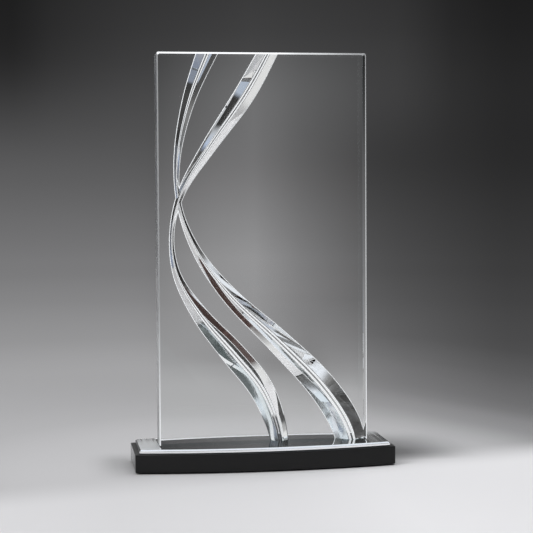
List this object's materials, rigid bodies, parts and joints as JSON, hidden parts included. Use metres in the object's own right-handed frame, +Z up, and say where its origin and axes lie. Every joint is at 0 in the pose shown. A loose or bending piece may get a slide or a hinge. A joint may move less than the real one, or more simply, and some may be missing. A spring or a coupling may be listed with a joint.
{
  "type": "award trophy",
  "caption": "Upright clear crystal award panel carved with crossing V-section ribbons, on a polished metal plate and a black bow-front base.",
  "frame": {"origin": "on the table, under the middle of the base", "axes": "+Z up, +X to the right seen from the front, front towards -Y"},
  "size_m": [0.17, 0.0606, 0.2693],
  "materials": {
    "crystal": "clear, polished",
    "clear_bond": "clear cured adhesive film",
    "polished_plate": "mirror polished, bevelled upper edge",
    "adhesive_sheet": "double-sided adhesive sheet",
    "black_block": "black satin lacquer",
    "foot_rubber": "matt"
  },
  "bodies": {
    "root": {"crystal_panel": "crystal", "panel_bond": "clear_bond", "top_plate": "polished_plate", "plate_tape": "adhesive_sheet", "base_block": "black_block", "foot_front_left": "foot_rubber", "foot_front_right": "foot_rubber", "foot_back_left": "foot_rubber", "foot_back_right": "foot_rubber"}
  },
  "joints": []
}
